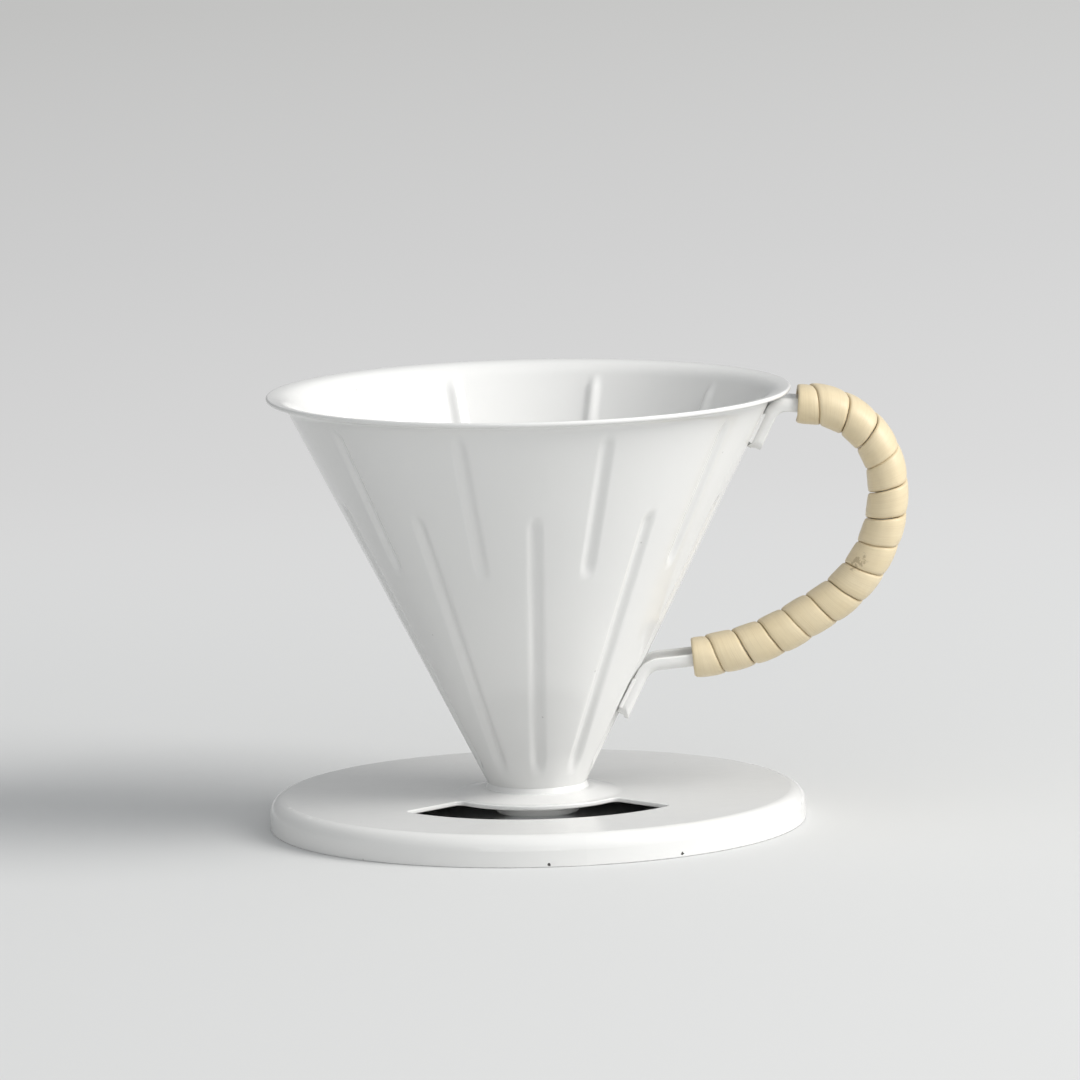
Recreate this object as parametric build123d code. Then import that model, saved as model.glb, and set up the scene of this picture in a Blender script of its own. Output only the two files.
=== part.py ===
from build123d import *
import math
import os

# Pour over dripper: enamelled steel cone on a pressed base plate, with a gutter-shaped handle strap wound
# in split cane. Origin: centre of the base's resting edge, +Z up, handle towards +X, window towards -Y.

# ---------------------------------------------------------------- driving sizes, millimetres and degrees
SHEET = 1.0  # steel with its enamel, cone and plate
EDGE_ROUND = 0.42  # enamel rounding of a cut sheet edge

RIM_RADIUS = 58.0
RIM_HEIGHT = 96.6
RIM_ANGLE = 10.0  # slope of the flared lip above the horizontal
RIM_FLARE_RADIUS = 4.0  # underside of the lip, where the wall turns out
LIP_WIDTH = 3.99  # from where the wall's line meets the lip's underside out to the lip's edge
FOOT_RADIUS = 10.4  # outside of the cone where it stands on the plate
NECK_RADIUS = 9.3  # outside of the outlet neck
NECK_BOTTOM = 2.4  # above the table
NECK_BEND = 2.0

RIB_COUNT = 10  # in each of the two rows
RIB_WIDTH = 2.8
RIB_DEPTH = 0.75
RIB_PATTERN_TURN = 1.0  # the press was turned this little against the window
UPPER_RIB_LOW = 35.0  # ends of the two rows' ribs below the rim
UPPER_RIB_HIGH = 6.0
LOWER_RIB_HIGH = 25.0
LOWER_RIB_LOW = 7.0  # above the boss

BASE_RADIUS = 59.4
BASE_HEIGHT = 6.8
BASE_SHOULDER = 3.2
BOSS_RISE = 1.2  # boss above the plate's flat
BOSS_RADIUS = 12.6
BOSS_SKIRT_RADIUS = 18.5
BOSS_BLEND = 6.0

WINDOW_INNER_RADIUS = 20.2
WINDOW_OUTER_RADIUS = 37.0
WINDOW_SIDE_ANGLE = 45.0  # direction of its two straight sides, from the front
WINDOW_SIDE_OFFSET = 4.4  # distance of those sides from the lines through the centre
WINDOW_CORNER = 1.6
WINDOW_EDGE = 0.35

STRAP_WIDTH = 12.0
STRAP_DEPTH = 2.9
STRAP_SHEET = 0.9
STRAP_CORNER = 1.3  # bend radius at mid-sheet
HANDLE_PROUD = 21.0  # strap centre line beyond the rim at its furthest
HANDLE_BELOW_RIM = 4.0  # strap centre line as it leaves the cone
HANDLE_TOP_SLOPE = 4.4  # degrees below the horizontal there
HANDLE_TOP_BEND = 4.0
HANDLE_BACK_BEND = 18.5
HANDLE_KNEE_DROP = 37.5  # corners of the centre line below its top, on its way back to the cone
HANDLE_KNEE_BEND = 30.0
HANDLE_ELBOW_DROP = 55.4
HANDLE_ELBOW_IN = 31.0  # from the furthest reach back towards the cone
HANDLE_ELBOW_BEND = 52.0
HANDLE_ENTRY_DROP = 57.45
HANDLE_ENTRY_BEND = 5.0
UPPER_TONGUE = 11.2
LOWER_TONGUE = 12.8
TONGUE_CORNER = 2.6
SEAT_BITE = 0.2  # how far a tongue is pressed to the wall's own shape

WELD_RADIUS = 0.7
WELD_LENGTH = 7.0
FOOT_WELD = 1.1

CANE_WIDTH = 6.1
CANE_CROWN = 1.6  # thickness at the middle of the strip
CANE_EDGE = 0.7
CANE_TURNS = 14.6
CANE_EDGE_TAPER = 0.15  # how far each edge leans in over its thickness
CANE_TIP = 1.0  # width left at the strip's two ends
CANE_SIDE_GAP = 0.3  # between strip and strap at the strap's two sides
CANE_ARCH = 1.55  # how far the strip bows clear of the strap's web and open side
CANE_SQUARENESS = 2.6  # exponent of the wound section: 2 is an ellipse
CANE_START_GAP = 1.2  # strap left bare between the rim and the first turn
CANE_END_GAP = 10.97  # strap left bare between the wall and the last turn
CANE_STATIONS = 16  # sections in one turn

# ---------------------------------------------------------------- derived sizes
BOSS_HEIGHT = BASE_HEIGHT + BOSS_RISE
MOUTH_RADIUS = RIM_RADIUS - LIP_WIDTH
MOUTH_HEIGHT = RIM_HEIGHT - SHEET - LIP_WIDTH * math.tan(math.radians(RIM_ANGLE))
SLOPE = (MOUTH_RADIUS - FOOT_RADIUS) / (MOUTH_HEIGHT - BOSS_HEIGHT)
COS_WALL = math.cos(math.atan(SLOPE))
SIN_WALL = math.sin(math.atan(SLOPE))
RIB_STEP = 360 / RIB_COUNT
UPPER_RIB = (RIM_HEIGHT - UPPER_RIB_LOW, RIM_HEIGHT - UPPER_RIB_HIGH)
LOWER_RIB = (BOSS_HEIGHT + LOWER_RIB_LOW, RIM_HEIGHT - LOWER_RIB_HIGH)
HANDLE_TOP = RIM_HEIGHT - HANDLE_BELOW_RIM
HANDLE_REACH = RIM_RADIUS + HANDLE_PROUD
HANDLE_ENTRY = HANDLE_TOP - HANDLE_ENTRY_DROP


def wall_radius(z):
    """Outside radius of the cone's wall at height z."""
    return FOOT_RADIUS + (z - BOSS_HEIGHT) * SLOPE


def wall_height(r):
    """Height at which the cone's wall has outside radius r."""
    return BOSS_HEIGHT + (r - FOOT_RADIUS) / SLOPE


def on_side(r, z):
    """Point in the plane through the axis and the handle."""
    return Vector(r, 0, z)


# ---------------------------------------------------------------- cone body
def cone_outline():
    """Outer side of the cone's section, from the neck's lower edge to the lip's edge."""
    points = [
        on_side(NECK_RADIUS, NECK_BOTTOM),
        on_side(NECK_RADIUS, wall_height(NECK_RADIUS)),
        on_side(MOUTH_RADIUS, MOUTH_HEIGHT),
        on_side(RIM_RADIUS, RIM_HEIGHT - SHEET),
    ]
    return FilletPolyline(*points, radius=[NECK_BEND, RIM_FLARE_RADIUS])


def sheet_section(outline, side):
    """Closed section of a sheet that lies on one side of its outline."""
    return make_face(offset(outline, amount=SHEET, side=side, closed=True).edges())


def ring(section):
    """Revolved section; the seam of its surfaces is turned to lie between two ribs."""
    return Rot(0, 0, RIB_PATTERN_TURN + RIB_STEP / 4 - 90) * revolve(section, Axis.Z, 360)


def cone_envelope():
    """Everything inside the outer side of the cone: what seats on the cone is cut to it."""
    outline = cone_outline()
    lower = outline @ 0
    upper = outline @ 1
    lid = Polyline(upper, on_side(0, upper.Z), on_side(0, lower.Z), lower)
    return ring(make_face(outline.edges() + lid.edges()))


def rib_bar(heights, radius, groove_radius):
    """Round-ended bar along the wall at the front, centred where a rib's groove cutter runs."""
    stand_off = groove_radius - RIB_DEPTH
    ends = []
    for z in heights:
        ends.append(Vector(0, -wall_radius(z) - stand_off * COS_WALL, z - stand_off * SIN_WALL))
    along = ends[1] - ends[0]
    length = along.length
    diagonal = radius * math.sqrt(0.5)
    half_section = make_face(
        [
            Line((0, length + radius), (0, -radius)),
            ThreePointArc((0, -radius), (diagonal, -diagonal), (radius, 0)),
            Line((radius, 0), (radius, length)),
            ThreePointArc((radius, length), (diagonal, length + diagonal), (0, length + radius)),
        ]
    )
    # local X points into the cone and local Y along the bar
    frame = Plane(ends[0], x_dir=(0, COS_WALL, SIN_WALL), z_dir=Vector(0, COS_WALL, SIN_WALL).cross(along))
    return frame * revolve(half_section, Axis.Y, 360)


def cone_body():
    groove_radius = (RIB_WIDTH**2 / 4 + RIB_DEPTH**2) / (2 * RIB_DEPTH)
    body = ring(sheet_section(cone_outline(), Side.LEFT))
    cut_edges = body.edges().filter_by(GeomType.CIRCLE).sort_by(Axis.Z)
    body = fillet(cut_edges[:2] + cut_edges[-2:], EDGE_ROUND)
    envelope = cone_envelope()
    rows = [(LOWER_RIB, RIB_PATTERN_TURN), (UPPER_RIB, RIB_PATTERN_TURN + RIB_STEP / 2)]
    ridges = []
    grooves = []
    for heights, start in rows:
        ridge = rib_bar(heights, groove_radius + SHEET, groove_radius) & envelope
        groove = rib_bar(heights, groove_radius, groove_radius)
        for i in range(RIB_COUNT):
            turn = Rot(0, 0, start + i * RIB_STEP)
            ridges.append(turn * ridge)
            grooves.append(turn * groove)
    return body + ridges - grooves


# ---------------------------------------------------------------- base plate
def window_shape():
    """Sector between two arcs; its sides are offset lines, so they miss the centre."""
    half = math.radians(WINDOW_SIDE_ANGLE)
    apex_y = WINDOW_SIDE_OFFSET / math.sin(half)
    reach = 2 * WINDOW_OUTER_RADIUS
    side_x = reach * math.sin(half)
    side_y = apex_y - reach * math.cos(half)
    wedge = make_face(Polyline((0, apex_y), (-side_x, side_y), (side_x, side_y), close=True))
    shape = (Circle(WINDOW_OUTER_RADIUS) - Circle(WINDOW_INNER_RADIUS)) & wedge
    return fillet(shape.vertices(), WINDOW_CORNER)


def on_window(edge):
    """Whether an edge of the plate runs round the window, on its upper or its under face."""
    middle = edge.center()
    from_axis = math.hypot(middle.X, middle.Y)
    beside = WINDOW_INNER_RADIUS - SHEET < from_axis < WINDOW_OUTER_RADIUS + SHEET
    return beside and min(abs(middle.Z - BASE_HEIGHT), abs(middle.Z - BASE_HEIGHT + SHEET)) < SHEET / 10


def base_plate():
    points = [
        on_side(NECK_RADIUS - SHEET, BOSS_HEIGHT),
        on_side(BOSS_RADIUS, BOSS_HEIGHT),
        on_side(BOSS_SKIRT_RADIUS, BASE_HEIGHT),
        on_side(BASE_RADIUS, BASE_HEIGHT),
        on_side(BASE_RADIUS, 0),
    ]
    outline = FilletPolyline(*points, radius=[BOSS_BLEND, BOSS_BLEND, BASE_SHOULDER])
    plate = ring(sheet_section(outline, Side.RIGHT))
    rest_edges = plate.edges().filter_by(GeomType.CIRCLE).sort_by(Axis.Z)[:2]
    plate = fillet(rest_edges, EDGE_ROUND / 2)
    plate -= extrude(window_shape(), amount=BASE_HEIGHT + SHEET)
    plate = fillet(plate.edges().filter_by(on_window), WINDOW_EDGE)
    return plate - cone_envelope()


def foot_weld():
    """Enamelled bead in the corner between the cone's foot and the plate."""
    upper = on_side(wall_radius(BOSS_HEIGHT + FOOT_WELD), BOSS_HEIGHT + FOOT_WELD)
    outer = on_side(FOOT_RADIUS + FOOT_WELD, BOSS_HEIGHT)
    foot = on_side(FOOT_RADIUS, BOSS_HEIGHT)
    return ring(make_face(Polyline(foot, outer, upper, close=True)))


# ---------------------------------------------------------------- handle strap
def strap_path():
    """Centre line of the strap, from the tip of its upper tongue round to the tip of its lower one."""
    down_wall = on_side(-SIN_WALL, -COS_WALL)
    top_r = wall_radius(HANDLE_TOP) + (STRAP_DEPTH / 2 - SEAT_BITE) / COS_WALL
    top = on_side(top_r, HANDLE_TOP)
    back_drop = (HANDLE_REACH - top_r) * math.tan(math.radians(HANDLE_TOP_SLOPE))
    back = on_side(HANDLE_REACH, HANDLE_TOP - back_drop)
    # the lower tongue stands on the edges of its two flanges, which straddle the round wall
    flange_y = (STRAP_WIDTH - STRAP_SHEET) / 2
    entry_wall = wall_radius(HANDLE_ENTRY)
    sagitta = entry_wall - math.sqrt(entry_wall**2 - flange_y**2)
    entry_r = entry_wall + (STRAP_DEPTH / 2 - SEAT_BITE) / COS_WALL - sagitta
    entry = on_side(entry_r, HANDLE_ENTRY)
    points = [
        top + down_wall * UPPER_TONGUE,
        top,
        back,
        on_side(HANDLE_REACH, HANDLE_TOP - HANDLE_KNEE_DROP),
        on_side(HANDLE_REACH - HANDLE_ELBOW_IN, HANDLE_TOP - HANDLE_ELBOW_DROP),
        entry,
        entry + down_wall * LOWER_TONGUE,
    ]
    bends = [HANDLE_TOP_BEND, HANDLE_BACK_BEND, HANDLE_KNEE_BEND, HANDLE_ELBOW_BEND, HANDLE_ENTRY_BEND]
    return FilletPolyline(*points, radius=bends)


def strap_section(path):
    """Gutter section at the path's start: web on the outer side of the loop, flanges towards the fingers."""
    u = (STRAP_WIDTH - STRAP_SHEET) / 2
    v = (STRAP_DEPTH - STRAP_SHEET) / 2
    middle = FilletPolyline((-u, -v), (-u, v), (u, v), (u, -v), radius=STRAP_CORNER)
    section = make_face(offset(middle, amount=STRAP_SHEET / 2).edges())
    return Plane(path @ 0, x_dir=(0, 1, 0), z_dir=path % 0) * section


def tongue_waste(tip, inward):
    """What is trimmed off a tongue's tip to round its two corners."""
    blank = Pos(0, TONGUE_CORNER) * Rectangle(2 * STRAP_WIDTH, 2 * TONGUE_CORNER)
    tongue = Pos(0, STRAP_WIDTH) * RectangleRounded(STRAP_WIDTH, 2 * STRAP_WIDTH, TONGUE_CORNER)
    flat = Plane(tip, x_dir=(0, 1, 0), z_dir=Vector(0, 1, 0).cross(inward))
    return flat * extrude(blank - tongue, amount=STRAP_DEPTH, both=True)


def handle_strap():
    path = strap_path()
    strap = sweep(strap_section(path), path=path)
    strap -= tongue_waste(path @ 0, path % 0)
    strap -= tongue_waste(path @ 1, -(path % 1))
    return strap - cone_envelope()


def tongue_welds(strap):
    """Enamelled weld beads along both sides of each tongue, in the corner between strap and wall."""
    upper = (HANDLE_TOP, UPPER_TONGUE, STRAP_WIDTH / 2 - STRAP_SHEET)
    lower = (HANDLE_ENTRY, LOWER_TONGUE, (STRAP_WIDTH + WELD_RADIUS / 2) / 2)
    beads = []
    for corner_height, tongue, side_y in (upper, lower):
        middle = corner_height - COS_WALL * tongue / 2
        rise = COS_WALL * WELD_LENGTH / 2
        for y in (-side_y, side_y):
            ends = []
            for z in (middle - rise, middle + rise):
                ends.append(Vector(math.sqrt(wall_radius(z) ** 2 - y**2), y, z))
            along = ends[1] - ends[0]
            beads.append(Solid.make_cylinder(WELD_RADIUS, along.length, Plane(ends[0], z_dir=along)))
    return Compound(beads) - cone_envelope() - strap


# ---------------------------------------------------------------- cane wrap
def length_nearest(path, point):
    """Length along the path to where it passes nearest to the point."""
    return path.param_at_point(path.closest_points(Vertex(*point))[0]) * path.length


def wound_point(path, s, turn, lift=0.0):
    """Point of the wound section at length s of the strap, lifted off the strip's inner face.

    A turn starts on the outer side of the loop and passes the near (-Y) side first."""
    angle = 2 * math.pi * turn
    c = math.cos(angle)
    d = math.sin(angle)
    a = STRAP_DEPTH / 2 + CANE_ARCH
    b = STRAP_WIDTH / 2 + CANE_SIDE_GAP
    p = CANE_SQUARENESS
    size = (abs(c) ** p + abs(d) ** p) ** (-1 / p)
    place = path.position_at(s, position_mode=PositionMode.LENGTH)
    along = path.tangent_at(s, position_mode=PositionMode.LENGTH)
    outer = Vector(-along.Z, 0, along.X)
    # normal of the superellipse |v/a|^p + |u/b|^p = 1
    v = math.copysign(abs(c) ** (p - 1), c) / a
    u = math.copysign(abs(d) ** (p - 1), d) / b
    normal = (outer * v + Vector(0, -1, 0) * u).normalized()
    return place + outer * (a * size * c) + Vector(0, -1, 0) * (b * size * d) + normal * lift


def strip_section(path, start, end, pitch, turn):
    """Closed wire of the strip where it has made this many turns, cut off square at start and end."""
    middle = start + pitch * turn
    first = max(middle - CANE_WIDTH / 2, start)
    last = min(middle + CANE_WIDTH / 2, end)
    left = wound_point(path, first, turn)
    right = wound_point(path, last, turn)
    across = right - left
    width = across.length
    between = (first + last) / 2
    rise = wound_point(path, between, turn, CANE_EDGE) - wound_point(path, between, turn)
    frame = Plane((left + right) / 2, x_dir=across, z_dir=across.cross(rise))
    half = width / 2
    crown = CANE_EDGE + (CANE_CROWN - CANE_EDGE) * width / CANE_WIDTH
    outline = [
        Line((-half, 0), (half, 0)),
        Line((half, 0), (half - CANE_EDGE_TAPER, CANE_EDGE)),
        ThreePointArc((half - CANE_EDGE_TAPER, CANE_EDGE), (0, crown), (CANE_EDGE_TAPER - half, CANE_EDGE)),
        Line((CANE_EDGE_TAPER - half, CANE_EDGE), (-half, 0)),
    ]
    return frame * make_face(outline)


def cane_strip():
    path = strap_path()
    start = length_nearest(path, on_side(RIM_RADIUS + CANE_START_GAP, HANDLE_TOP))
    end = length_nearest(path, on_side(wall_radius(HANDLE_ENTRY) + CANE_END_GAP, HANDLE_ENTRY))
    pitch = (end - start) / CANE_TURNS
    # the strip tapers to a narrow cut at either end
    overhang = (CANE_WIDTH / 2 - CANE_TIP) / pitch
    count = math.ceil((CANE_TURNS + 2 * overhang) * CANE_STATIONS)
    step = (CANE_TURNS + 2 * overhang) / count
    turns = [-overhang + i * step for i in range(count + 1)]
    sections = [strip_section(path, start, end, pitch, t) for t in turns]
    pieces = []
    for i in range(0, count, CANE_STATIONS):
        pieces.append(loft(sections[i : i + CANE_STATIONS + 1]))
    return pieces[0] + pieces[1:]


os.makedirs("parts", exist_ok=True)
strap = handle_strap()
nodes = {
    "cone_body": cone_body(),
    "base_plate": base_plate(),
    "foot_weld": foot_weld(),
    "handle_strap": strap,
    "tongue_welds": tongue_welds(strap),
    "cane_strip": cane_strip(),
}
for name, shape in nodes.items():
    export_step(shape, f"parts/{name}.step")
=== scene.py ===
import math

import bpy
import numpy as np
from mathutils import Matrix, Vector


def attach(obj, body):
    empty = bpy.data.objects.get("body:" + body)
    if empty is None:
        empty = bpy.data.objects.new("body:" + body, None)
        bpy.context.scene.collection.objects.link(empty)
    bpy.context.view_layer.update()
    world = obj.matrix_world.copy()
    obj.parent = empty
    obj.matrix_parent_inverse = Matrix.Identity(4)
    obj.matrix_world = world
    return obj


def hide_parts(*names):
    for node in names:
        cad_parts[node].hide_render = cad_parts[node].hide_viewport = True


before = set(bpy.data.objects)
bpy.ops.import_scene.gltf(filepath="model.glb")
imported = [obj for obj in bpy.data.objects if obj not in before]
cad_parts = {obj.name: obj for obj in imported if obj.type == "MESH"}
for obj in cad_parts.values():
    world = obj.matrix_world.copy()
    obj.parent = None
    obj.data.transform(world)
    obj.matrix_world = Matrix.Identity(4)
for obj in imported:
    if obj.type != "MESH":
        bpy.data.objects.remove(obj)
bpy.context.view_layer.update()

# Enamelled pour over dripper with a cane-wound handle. Metres; the cone's axis is Z, the handle lies
# towards +X and the plate's window towards -Y.

MM = 0.001

# ---------------------------------------------------------------- cone, handle and wrap sizes, millimetres
SHEET, EDGE_ROUND = 1.0, 0.42
RIM_RADIUS, RIM_HEIGHT = 58.0, 96.6
MOUTH_RADIUS, MOUTH_HEIGHT, FLARE_BEND = 54.01, 94.896, 4.0
FOOT_RADIUS, FOOT_HEIGHT = 10.4, 8.0
NECK_RADIUS, NECK_BOTTOM, NECK_BEND = 9.3, 2.4, 2.0
CONE_SLOPE = (MOUTH_RADIUS - FOOT_RADIUS) / (MOUTH_HEIGHT - FOOT_HEIGHT)
RIB_COUNT, RIB_TURN = 10, 1.0
RIB_DEPTH, RIB_SPREAD = 0.75, 2.1  # the press leaves soft shoulders
UPPER_RIB, LOWER_RIB = (61.6, 90.6), (15.0, 71.6)
STRAP_DEPTH, STRAP_WIDTH, STRAP_SHEET = 2.9, 12.0, 0.9
HANDLE_REACH, HANDLE_TOP, HANDLE_TOP_DROP = 79.0, 92.6, 4.4
HANDLE_KNEE, HANDLE_ELBOW, HANDLE_ENTRY = (79.0, 55.1), (48.0, 37.2), 35.15
HANDLE_BENDS = (18.5, 30.0, 52.0)  # at the back, the knee and the elbow
SEAT_BITE = 0.2
CANE_WIDTH, CANE_CROWN, CANE_TIP = 6.1, 1.6, 1.0
CANE_TURNS = 14.6
CANE_SIDE_GAP, CANE_ARCH, CANE_SQUARENESS = 0.3, 1.55, 2.6
CANE_START, CANE_END = 59.2, 35.0
CANE_FILL = 0.985  # share of the pitch that the strip covers
CANE_TURN_LENGTH = 37.0  # strip used by one turn
CANE_SWAY = 0.10  # how far a turn may lie off its even place
CANE_SWELL = (0.88, 0.965)  # least and most thickness, as a share of the crown
STATIONS = 72  # sections in one turn
ACROSS = 15  # points over the strip's outer face

LENS = 296.23333  # millimetres, on a sensor 36 wide


# ---------------------------------------------------------------- camera
def camera():
    """Long lens a little above the rim, rolled slightly as it was held."""
    distance = 1.968
    elevation = math.radians(8.50)
    roll = math.radians(1.35)
    target = Vector((0, 0, 0.045))
    off_right, off_up = 0.00095049, 0.00905480  # tangents: the cone stands low and left in the frame
    forward = Vector((0, math.cos(elevation), -math.sin(elevation)))
    right = Vector((1, 0, 0))
    up = right.cross(forward)
    place = target - forward * distance
    aim = (forward + right * off_right + up * off_up).normalized()
    side = aim.cross(Vector((0, 0, 1))).normalized()
    top = side.cross(aim)
    x_axis = side * math.cos(roll) - top * math.sin(roll)
    y_axis = side * math.sin(roll) + top * math.cos(roll)
    data = bpy.data.cameras.new("camera")
    data.sensor_width = 36
    data.lens = LENS
    data.clip_start, data.clip_end = 0.1, 50
    cam = bpy.data.objects.new("camera", data)
    bpy.context.scene.collection.objects.link(cam)
    rotation = Matrix((x_axis, y_axis, -aim)).transposed()
    cam.matrix_world = Matrix.Translation(place) @ rotation.to_4x4()
    bpy.context.scene.camera = cam


# ---------------------------------------------------------------- node helpers
class Graph:
    """Small helper that adds and joins shader nodes."""

    def __init__(self, owner):
        owner.use_nodes = True
        self.tree = owner.node_tree
        self.tree.nodes.clear()

    def add(self, kind, inputs=(), **settings):
        node = self.tree.nodes.new(kind)
        for key, value in settings.items():
            setattr(node, key, value)
        for key, value in dict(inputs).items():
            if isinstance(value, bpy.types.NodeSocket):
                self.tree.links.new(value, node.inputs[key])
            else:
                node.inputs[key].default_value = value
        return node

    def math(self, operation, a, b=0.0, clamp=False):
        node = self.add("ShaderNodeMath", {0: a, 1: b}, operation=operation, use_clamp=clamp)
        return node.outputs[0]

    def ramp(self, value, stops):
        node = self.add("ShaderNodeValToRGB", {0: value})
        elements = node.color_ramp.elements
        while len(elements) < len(stops):
            elements.new(0.5)
        for element, (place, colour) in zip(elements, stops):
            element.position = place
            element.color = colour if len(colour) == 4 else (*colour, 1)
        return node.outputs[0]

    def noise(self, vector, scale, detail=2.0, roughness=0.5):
        node = self.add(
            "ShaderNodeTexNoise",
            {"Vector": vector, "Scale": scale, "Detail": detail, "Roughness": roughness},
        )
        return node.outputs["Fac"]

    def mix(self, factor, a, b, blend="MIX"):
        node = self.add("ShaderNodeMix", data_type="RGBA", blend_type=blend)
        for index, value in ((0, factor), (6, a), (7, b)):
            if isinstance(value, bpy.types.NodeSocket):
                self.tree.links.new(value, node.inputs[index])
            else:
                node.inputs[index].default_value = value
        return node.outputs[2]


def grey(value):
    return (value, value, value, 1)


def linear(red, green, blue):
    """Screen colour from 0 to 255 as scene-linear colour."""
    out = []
    for c in (red, green, blue):
        c /= 255
        out.append(c / 12.92 if c <= 0.04045 else ((c + 0.055) / 1.055) ** 2.4)
    return (*out, 1)


# ---------------------------------------------------------------- materials
CHIPS = (  # place and radius of the enamel's small chips, millimetres
    (21.2, -6.2, 33.3, 0.5),
    (17.0, -6.2, 24.6, 0.3),
    (31.0, -50.6, 0.9, 0.5),
    (2.2, -59.4, 0.7, 0.4),
    (-41.0, -43.0, 5.6, 0.3),
)


def enamel_material():
    """Vitreous enamel: glassy, faintly rippled, warm white, with pinholes and a few chips to the steel."""
    material = bpy.data.materials.new("white_enamel")
    g = Graph(material)
    place = g.add("ShaderNodeTexCoord").outputs["Object"]
    cloud = g.noise(place, 22.0, 3.0)
    colour = g.mix(cloud, (0.745, 0.745, 0.73, 1), (0.775, 0.774, 0.764, 1))
    pinhole_cell = g.add("ShaderNodeTexVoronoi", {"Vector": place, "Scale": 95.0}, feature="F1")
    pinhole = g.math("LESS_THAN", pinhole_cell.outputs["Distance"], 0.022)
    colour = g.mix(g.math("MULTIPLY", pinhole, 0.35), colour, (0.30, 0.29, 0.27, 1))
    ragged = g.math("MULTIPLY", g.noise(place, 1400.0, 2.0), 0.0008)
    chipped = None
    for x, y, z, radius in CHIPS:
        centre = (x * MM, y * MM, z * MM)
        away = g.add("ShaderNodeVectorMath", {0: place, 1: centre}, operation="DISTANCE").outputs["Value"]
        one = g.math("LESS_THAN", g.math("ADD", away, ragged), radius * MM + 0.0003)
        chipped = one if chipped is None else g.math("MAXIMUM", chipped, one)
    colour = g.mix(chipped, colour, (0.045, 0.042, 0.04, 1))
    ripple = g.noise(place, 330.0, 2.0, 0.4)
    slow = g.noise(place, 75.0, 1.0)
    height = g.math("ADD", g.math("MULTIPLY", ripple, 0.35), slow)
    height = g.math("SUBTRACT", height, g.math("MULTIPLY", chipped, 0.8))
    height = g.math("SUBTRACT", height, g.math("MULTIPLY", pinhole, 0.4))
    bump = g.add("ShaderNodeBump", {"Height": height, "Strength": 0.22, "Distance": 0.0002})
    rough = g.math("ADD", g.math("MULTIPLY", cloud, 0.08), 0.11)
    rough = g.math("ADD", rough, g.math("MULTIPLY", chipped, 0.4), clamp=True)
    shader = g.add(
        "ShaderNodeBsdfPrincipled",
        {"Base Color": colour, "Roughness": rough, "Normal": bump.outputs[0], "IOR": 1.5},
    )
    g.add("ShaderNodeOutputMaterial", {"Surface": shader.outputs[0]})
    return material


def cane_material():
    """Skin side of split cane: long fine fibres, darker towards the strip's edges as painted shade in the
    seams between turns, a few dark flecks.
    """
    material = bpy.data.materials.new("split_cane")
    g = Graph(material)
    uv = g.add("ShaderNodeUVMap", uv_map="strip")
    across, along, _ = g.add("ShaderNodeSeparateXYZ", {0: uv.outputs[0]}).outputs
    # the map runs 0 to 1 over the strip and in metres along it
    fibre_place = g.add(
        "ShaderNodeCombineXYZ", {0: g.math("MULTIPLY", across, 40.0), 1: g.math("MULTIPLY", along, 60.0)}
    ).outputs[0]
    fibres = g.noise(fibre_place, 1.0, 3.0, 0.6)
    vein_place = g.add(
        "ShaderNodeCombineXYZ", {0: g.math("MULTIPLY", across, 9.0), 1: g.math("MULTIPLY", along, 22.0)}
    ).outputs[0]
    veins = g.noise(vein_place, 1.0, 2.0)
    tint_place = g.add("ShaderNodeCombineXYZ", {0: across, 1: g.math("MULTIPLY", along, 26.0)}).outputs[0]
    tint = g.noise(tint_place, 1.0, 2.0)
    colour = g.mix(tint, linear(214, 197, 160), linear(226, 213, 184))
    colour = g.mix(g.math("MULTIPLY", veins, 0.35), colour, linear(199, 180, 143))
    dark_fibre = g.ramp(fibres, [(0.30, grey(1)), (0.50, grey(0))])
    colour = g.mix(g.math("MULTIPLY", dark_fibre, 0.22), colour, linear(172, 150, 112))
    edge = g.math("ABSOLUTE", g.math("SUBTRACT", across, 0.5))
    # painted shade: the strip darkens towards its two edges, so the seams between turns read dark
    painted_seam_shade = g.ramp(edge, [(0.44, grey(0)), (0.52, grey(1))])
    colour = g.mix(g.math("MULTIPLY", painted_seam_shade, 0.38), colour, linear(180, 156, 116))
    place = g.add("ShaderNodeTexCoord").outputs["Object"]
    height = g.math("ADD", fibres, g.math("MULTIPLY", veins, 1.2))
    colour = fleck(g, place, colour, (71.5, 57.5), 3.4)
    bump = g.add("ShaderNodeBump", {"Height": height, "Strength": 0.30, "Distance": 0.00012})
    rough = g.math("ADD", g.math("MULTIPLY", fibres, 0.18), 0.34)
    shader = g.add(
        "ShaderNodeBsdfPrincipled",
        {"Base Color": colour, "Roughness": rough, "Normal": bump.outputs[0], "Specular IOR Level": 0.4},
    )
    g.add("ShaderNodeOutputMaterial", {"Surface": shader.outputs[0]})
    return material


def fleck(g, place, colour, centre, radius):
    """Group of dark natural flecks on the near side of the strip."""
    x, y, z = g.add("ShaderNodeSeparateXYZ", {0: place}).outputs
    dx = g.math("SUBTRACT", x, centre[0] * MM)
    dz = g.math("SUBTRACT", z, centre[1] * MM)
    away = g.math("SQRT", g.math("ADD", g.math("MULTIPLY", dx, dx), g.math("MULTIPLY", dz, dz)))
    near = g.math("SUBTRACT", 1.0, g.math("DIVIDE", away, radius * MM), clamp=True)
    front = g.math("LESS_THAN", y, -0.005)
    grain = g.noise(place, 900.0, 3.0, 0.6)
    spots = g.ramp(g.math("ADD", grain, g.math("MULTIPLY", near, 0.28)), [(0.66, grey(0)), (0.74, grey(1))])
    shown = g.math("MULTIPLY", spots, g.math("MULTIPLY", front, g.math("GREATER_THAN", near, 0.0)))
    return g.mix(g.math("MULTIPLY", shown, 0.45), colour, linear(120, 98, 70))


# ---------------------------------------------------------------- cone
def wall_radius(z):
    return FOOT_RADIUS + (z - FOOT_HEIGHT) * CONE_SLOPE


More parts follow.
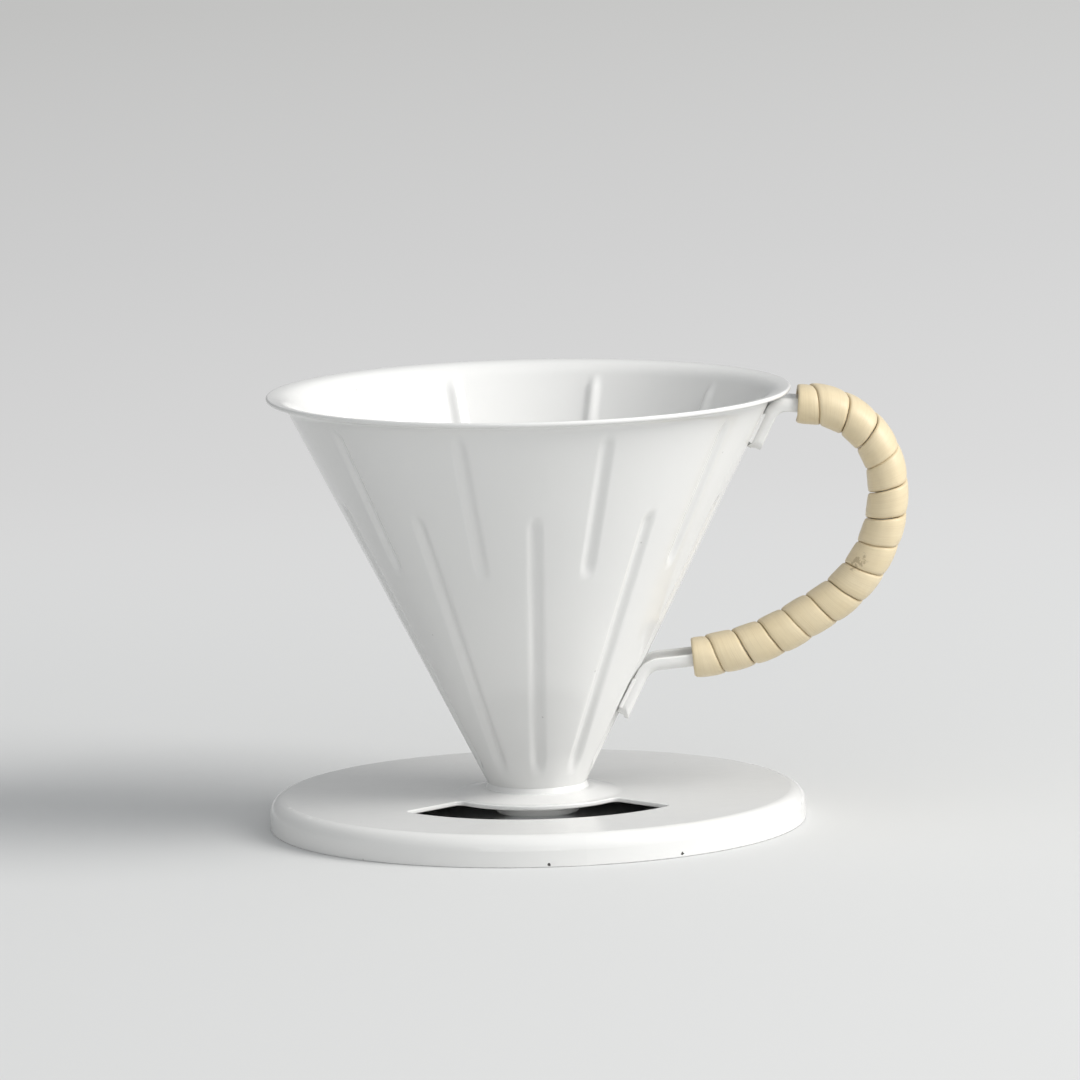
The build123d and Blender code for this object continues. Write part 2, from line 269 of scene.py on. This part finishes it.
def unit(vector):
    return vector / np.linalg.norm(vector)


def cone_outline():
    """Outer side of the cone's section, (n, 2) places (r, z), and the normals into the sheet."""
    neck_top = FOOT_HEIGHT + (NECK_RADIUS - FOOT_RADIUS) / CONE_SLOPE
    corners = [
        np.array(c)
        for c in (
            (NECK_RADIUS, NECK_BOTTOM),
            (NECK_RADIUS, neck_top),
            (MOUTH_RADIUS, MOUTH_HEIGHT),
            (RIM_RADIUS, RIM_HEIGHT - SHEET),
        )
    ]
    first = unit(corners[1] - corners[0])
    last = unit(corners[3] - corners[2])
    stops = [(corners[0] + first * EDGE_ROUND, first)]
    for before, here, after, radius in zip(corners, corners[1:], corners[2:], (NECK_BEND, FLARE_BEND)):
        a, b = unit(here - before), unit(after - here)
        half_turn = math.acos(a @ b) / 2
        reach = radius * math.tan(half_turn)
        for t in np.linspace(-1, 1, 9):
            tangent = unit(a * math.sin(half_turn * (1 - t)) + b * math.sin(half_turn * (1 + t)))
            centre = here - a * reach + np.array([a[1], -a[0]]) * radius
            stops.append((centre + np.array([-tangent[1], tangent[0]]) * radius, tangent))
    stops.append((corners[3] - last * EDGE_ROUND, last))
    places = []
    normals = []
    for (p, t), (q, u) in zip(stops, stops[1:]):
        count = max(1, round(np.linalg.norm(q - p) / 1.5))
        for k in range(count):
            f = k / count
            tangent = unit(t * (1 - f) + u * f)
            places.append(p + (q - p) * f)
            normals.append((-tangent[1], tangent[0]))  # a quarter turn to the left points into the sheet
    places.append(stops[-1][0])
    normals.append((-last[1], last[0]))
    return np.array(places), np.array(normals)


def rib_depth(angle, r, z):
    """How far the wall is pressed in at an angle in degrees, on the outer wall at (r, z)."""
    depth = 0.0
    rise = 1 / math.cos(math.atan(CONE_SLOPE))
    for (low, high), start in ((LOWER_RIB, RIB_TURN), (UPPER_RIB, RIB_TURN + 180 / RIB_COUNT)):
        step = 360 / RIB_COUNT
        off = (angle + 90 - start + step / 2) % step - step / 2
        beyond = np.clip(np.maximum(low - z, z - high), 0, None) * rise
        far = np.hypot(np.radians(off) * r, beyond) / RIB_SPREAD
        depth = np.maximum(depth, RIB_DEPTH * 0.5 * (1 + np.cos(np.pi * np.clip(far, 0, 1))))
    return depth


def cone_mesh():
    """Enamelled cone of sheet, its ribs pressed in with soft shoulders, rounded at its two cut edges."""
    places, normals = cone_outline()
    # degrees off a rib's middle: close together over the rib, wider apart between ribs
    sides = np.concatenate([np.linspace(0, 3.2, 9), np.linspace(4.2, 9, 6)])
    offsets = np.concatenate([-sides[:0:-1], sides[:-1]])
    period = 180 / RIB_COUNT
    angles = np.concatenate([RIB_TURN - 90 + k * period + offsets for k in range(2 * RIB_COUNT)])
    phi = np.radians(angles)
    pressed = rib_depth(angles[:, None], places[None, :, 0], places[None, :, 1])
    outer = places[None] + normals[None] * pressed[..., None]
    inner = outer + normals[None] * SHEET
    turn = np.linspace(0, np.pi, 8)[1:-1]
    caps = []
    for end, sign in ((-1, 1), (0, -1)):
        normal = normals[end]
        tangent = np.array([normal[1], -normal[0]]) * sign
        middle = outer[:, end] + normal * SHEET / 2
        across = -sign * np.outer(np.cos(turn), normal) * SHEET / 2
        beyond = np.outer(np.sin(turn), tangent) * EDGE_ROUND
        caps.append(middle[:, None] + (across + beyond)[None])
    section = np.concatenate([outer, caps[0], inner[:, ::-1], caps[1]], axis=1)
    x = section[..., 0] * np.cos(phi)[:, None]
    y = section[..., 0] * np.sin(phi)[:, None]
    points = np.stack([x, y, section[..., 1]], axis=-1)
    around, along = points.shape[:2]
    faces = []
    for i in range(around):
        n = (i + 1) % around
        for j in range(along):
            k = (j + 1) % along
            faces.append((i * along + j, n * along + j, n * along + k, i * along + k))
    mesh = bpy.data.meshes.new("cone_pressed")
    mesh.from_pydata((points.reshape(-1, 3) * MM).tolist(), [], faces)
    mesh.shade_smooth()
    mesh.validate()
    obj = bpy.data.objects.new("cone_pressed", mesh)
    bpy.context.scene.collection.objects.link(obj)
    return obj


# ---------------------------------------------------------------- cane strip
def strap_line():
    """Points of the strap's centre line every quarter millimetre, with outward normals: (n, 2) arrays."""
    cos_wall = math.cos(math.atan(CONE_SLOPE))
    top = (wall_radius(HANDLE_TOP) + (STRAP_DEPTH / 2 - SEAT_BITE) / cos_wall, HANDLE_TOP)
    drop = (HANDLE_REACH - top[0]) * math.tan(math.radians(HANDLE_TOP_DROP))
    flange = (STRAP_WIDTH - STRAP_SHEET) / 2
    entry_wall = wall_radius(HANDLE_ENTRY)
    sagitta = entry_wall - math.sqrt(entry_wall**2 - flange**2)
    entry = (entry_wall + (STRAP_DEPTH / 2 - SEAT_BITE) / cos_wall - sagitta, HANDLE_ENTRY)
    back = (HANDLE_REACH, HANDLE_TOP - drop)
    corners = [np.array(p) for p in (top, back, HANDLE_KNEE, HANDLE_ELBOW, entry)]
    line = [corners[0]]
    for before, here, after, radius in zip(corners, corners[1:], corners[2:], HANDLE_BENDS):
        a = (before - here) / np.linalg.norm(before - here)
        b = (after - here) / np.linalg.norm(after - here)
        half = math.acos(np.clip(a @ b, -1, 1)) / 2
        bisector = (a + b) / np.linalg.norm(a + b)
        centre = here + bisector * radius / math.sin(half)
        first = here + a * radius / math.tan(half)
        last = here + b * radius / math.tan(half)
        for t in np.linspace(0, 1, 60):
            ray = (1 - t) * (first - centre) + t * (last - centre)
            line.append(centre + ray * radius / np.linalg.norm(ray))
    line.append(corners[-1])
    line = np.array(line)
    s = np.concatenate([[0], np.cumsum(np.linalg.norm(np.diff(line, axis=0), axis=1))])
    even = np.arange(0, s[-1], 0.25)
    points = np.stack([np.interp(even, s, line[:, i]) for i in (0, 1)], axis=1)
    along = np.gradient(points, axis=0)
    along /= np.linalg.norm(along, axis=1, keepdims=True)
    normals = np.stack([-along[:, 1], along[:, 0]], axis=1)
    return even, points, normals


LINE_S, LINE_POINTS, LINE_NORMALS = strap_line()


def wound(s, turn, lift):
    """Points on the wound section at lengths s, after the given turns, lifted off the strip's inner face."""
    s, turn, lift = np.broadcast_arrays(s, turn, lift)
    angle = 2 * np.pi * turn
    c, d = np.cos(angle), np.sin(angle)
    a = STRAP_DEPTH / 2 + CANE_ARCH
    b = STRAP_WIDTH / 2 + CANE_SIDE_GAP
    p = CANE_SQUARENESS
    size = (np.abs(c) ** p + np.abs(d) ** p) ** (-1 / p)
    v = np.copysign(np.abs(c) ** (p - 1), c) / a
    u = np.copysign(np.abs(d) ** (p - 1), d) / b
    norm = np.hypot(u, v)
    out = a * size * c + v / norm * lift
    near = b * size * d + u / norm * lift
    x = np.interp(s, LINE_S, LINE_POINTS[:, 0]) + out * np.interp(s, LINE_S, LINE_NORMALS[:, 0])
    z = np.interp(s, LINE_S, LINE_POINTS[:, 1]) + out * np.interp(s, LINE_S, LINE_NORMALS[:, 1])
    return np.stack([x, -near, z], axis=-1)


def length_at(x, first_half):
    """Length along the strap where its centre line passes x, near its start or near its end."""
    far = np.argmax(LINE_POINTS[:, 0])
    part = slice(0, far) if first_half else slice(far, None)
    i = np.argmin(np.abs(LINE_POINTS[part, 0] - x))
    return LINE_S[part][i]


def strip_profile():
    """Flat, wide crown with eased edges: places from -1 to 1, heights as a share of the crown."""
    q = np.linspace(-1, 1, ACROSS)
    q = np.sign(q) * np.abs(q) ** 0.8  # closer together towards the edges
    height = 0.80 + 0.20 * (1 - np.abs(q) ** 3.0)
    corner = np.abs(q) > 0.97
    height[corner] -= 0.16
    return q, height


def cane_mesh():
    """One strip wound in close turns; each turn sways and swells a little, as split cane does."""
    start, end = length_at(CANE_START, True), length_at(CANE_END, False)
    pitch = (end - start) / CANE_TURNS
    overhang = (CANE_WIDTH / 2 - CANE_TIP) / pitch
    turns = np.arange(-overhang, CANE_TURNS + overhang, 1 / STATIONS)
    q, height = strip_profile()
    rng = np.random.default_rng(11)
    knots = np.arange(-2, CANE_TURNS + 3)
    sway = np.interp(turns, knots, rng.uniform(-CANE_SWAY, CANE_SWAY, len(knots)))
    swell = np.interp(turns, knots, rng.uniform(*CANE_SWELL, len(knots)))
    middle = start + pitch * turns + sway
    width = pitch * CANE_FILL
    first = np.clip(middle - width / 2, start, None)
    last = np.clip(middle + width / 2, None, end)
    half = (last - first) / 2
    centre = (last + first) / 2
    narrow = np.clip(2 * half / width, 0.25, 1)  # 1 along the strip, less at its two tips
    rings = []
    maps = []
    along = turns * CANE_TURN_LENGTH * MM
    for qi, hi in zip(q, height):
        crown = CANE_CROWN * swell * hi * (0.45 + 0.55 * narrow)
        rings.append(wound(centre + half * qi, turns, crown))
        maps.append(np.stack([np.full_like(turns, (qi + 1) / 2), along], axis=-1))
    # the inner face, whose map lies just outside 0 to 1
    for qi in (0.94, 0.0, -0.94):
        rings.append(wound(centre + half * qi, turns, 0.0))
        maps.append(np.stack([np.full_like(turns, 1.04 if qi > 0 else -0.04), along], axis=-1))
    points = np.stack(rings, axis=1) * MM
    uv = np.stack(maps, axis=1)
    return tube("cane_strip_wound", points, uv)


def tube(name, points, uv):
    """Closed mesh through rings of points, (stations, around, 3), with capped ends and a UV map."""
    stations, around = points.shape[:2]
    verts = points.reshape(-1, 3)
    uvs = uv.reshape(-1, 2)
    faces = []
    for i in range(stations - 1):
        for j in range(around):
            k = (j + 1) % around
            faces.append((i * around + j, (i + 1) * around + j, (i + 1) * around + k, i * around + k))
    faces.append(tuple(range(around)))
    faces.append(tuple(reversed(range((stations - 1) * around, stations * around))))
    mesh = bpy.data.meshes.new(name)
    mesh.from_pydata(verts.tolist(), [], faces)
    layer = mesh.uv_layers.new(name="strip")
    index = np.empty(len(mesh.loops), dtype=int)
    mesh.loops.foreach_get("vertex_index", index)
    layer.data.foreach_set("uv", uvs[index].ravel())
    mesh.shade_smooth()
    mesh.validate()
    obj = bpy.data.objects.new(name, mesh)
    bpy.context.scene.collection.objects.link(obj)
    return obj


# ---------------------------------------------------------------- studio
def floor_material():
    """Pale paper sweep: it shades near the object, and away from it passes into a glowing backdrop with
    painted light falloff, darker further back and lighter to the right.
    """
    material = bpy.data.materials.new("paper_sweep")
    g = Graph(material)
    geometry = g.add("ShaderNodeNewGeometry")
    x, y, z = g.add("ShaderNodeSeparateXYZ", {0: geometry.outputs["Position"]}).outputs
    paper = g.add("ShaderNodeBsdfDiffuse", {"Color": (0.66, 0.665, 0.663, 1)})
    # painted light falloff: the glowing backdrop darkens further back
    depth = g.add("ShaderNodeMapRange", {"Value": y, "From Min": 0.1, "From Max": 2.3}).outputs[0]
    sweep = g.ramp(
        depth,
        [(0.0, linear(228, 229, 229)), (0.22, linear(217, 217, 217)), (0.5, linear(209, 209, 209)),
         (1.0, linear(199, 199, 198))],
    )
    # painted light falloff: the glowing backdrop is lighter to the right, towards the window light
    painted_side_falloff = g.add(
        "ShaderNodeMapRange", {"Value": x, "From Min": -0.3, "From Max": 0.3, "To Min": 0.925, "To Max": 1.06}
    ).outputs[0]
    far = g.add("ShaderNodeEmission", {"Color": sweep, "Strength": painted_side_falloff})
    blend = g.add(
        "ShaderNodeMapRange", {"Value": y, "From Min": 0.09, "From Max": 0.5}, interpolation_type="SMOOTHSTEP"
    ).outputs[0]
    path = g.add("ShaderNodeLightPath").outputs
    seen = g.math("MAXIMUM", path["Is Camera Ray"], path["Is Glossy Ray"])
    seen = g.math("MAXIMUM", seen, path["Is Transmission Ray"])
    far_share = g.math("MULTIPLY", blend, seen)
    top = g.add("ShaderNodeMixShader", {0: far_share, 1: paper.outputs[0], 2: far.outputs[0]})
    clear = g.add("ShaderNodeBsdfTransparent")
    underside = geometry.outputs["Backfacing"]
    both = g.add("ShaderNodeMixShader", {0: underside, 1: top.outputs[0], 2: clear.outputs[0]})
    g.add("ShaderNodeOutputMaterial", {"Surface": both.outputs[0]})
    return material


def paper_floor():
    bpy.ops.mesh.primitive_plane_add(size=24, location=(0, 0, 0))
    floor = bpy.context.object
    floor.name = "floor"
    floor.data.materials.append(floor_material())


def room_light():
    """Soft room: darker on the left, brighter in front and overhead; the camera sees an even backdrop."""
    world = bpy.data.worlds.new("studio")
    bpy.context.scene.world = world
    g = Graph(world)
    direction = g.add("ShaderNodeTexCoord").outputs["Generated"]
    x, y, z = g.add("ShaderNodeSeparateXYZ", {0: direction}).outputs
    side = g.add(
        "ShaderNodeMapRange", {"Value": x, "From Min": -1, "From Max": 1, "To Min": 0.20, "To Max": 0.50}
    ).outputs[0]
    height = g.add(
        "ShaderNodeMapRange", {"Value": z, "From Min": 0.0, "From Max": 0.7, "To Min": 0.0, "To Max": 0.14}
    ).outputs[0]
    front = g.add(
        "ShaderNodeMapRange", {"Value": y, "From Min": 0.2, "From Max": -1.0, "To Min": 0.0, "To Max": 0.52}
    ).outputs[0]
    level = g.math("ADD", g.math("ADD", side, height), front)
    light = g.add("ShaderNodeBackground", {"Color": (0.97, 0.985, 1.0, 1), "Strength": level})
    shown = g.add("ShaderNodeBackground", {"Color": linear(212, 212, 211), "Strength": 1.0})
    path = g.add("ShaderNodeLightPath").outputs
    both = g.add("ShaderNodeMixShader", {0: path["Is Camera Ray"], 1: light.outputs[0], 2: shown.outputs[0]})
    g.add("ShaderNodeOutputWorld", {"Surface": both.outputs[0]})


def soft_window(name, place, size, power):
    """Square area light that faces the object."""
    data = bpy.data.lights.new(name, "AREA")
    data.shape = "SQUARE"
    data.size = size
    data.energy = power
    data.color = (1.0, 0.985, 0.965)
    lamp = bpy.data.objects.new(name, data)
    lamp.location = place
    lamp.rotation_mode = "QUATERNION"
    lamp.rotation_quaternion = (-place).to_track_quat("-Z", "Y")
    bpy.context.scene.collection.objects.link(lamp)


# ---------------------------------------------------------------- scene
def assign(obj, material):
    obj.data.materials.clear()
    obj.data.materials.append(material)


camera()
paper_floor()
room_light()
towards_window = Vector((0.758, -0.255, 0.60)).normalized()
soft_window("window_light", towards_window * 2.0, size=1.15, power=37.0)
enamel = enamel_material()
cane = cane_material()
for node in ("base_plate", "foot_weld", "handle_strap", "tongue_welds"):
    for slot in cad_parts[node].material_slots:
        slot.material = enamel
cone = cone_mesh()
assign(cone, enamel)
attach(cone, "root")
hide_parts("cone_body")
strip = cane_mesh()
assign(strip, cane)
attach(strip, "root")
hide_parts("cane_strip")

bpy.context.scene.view_settings.view_transform = "Standard"
bpy.context.view_layer.update()
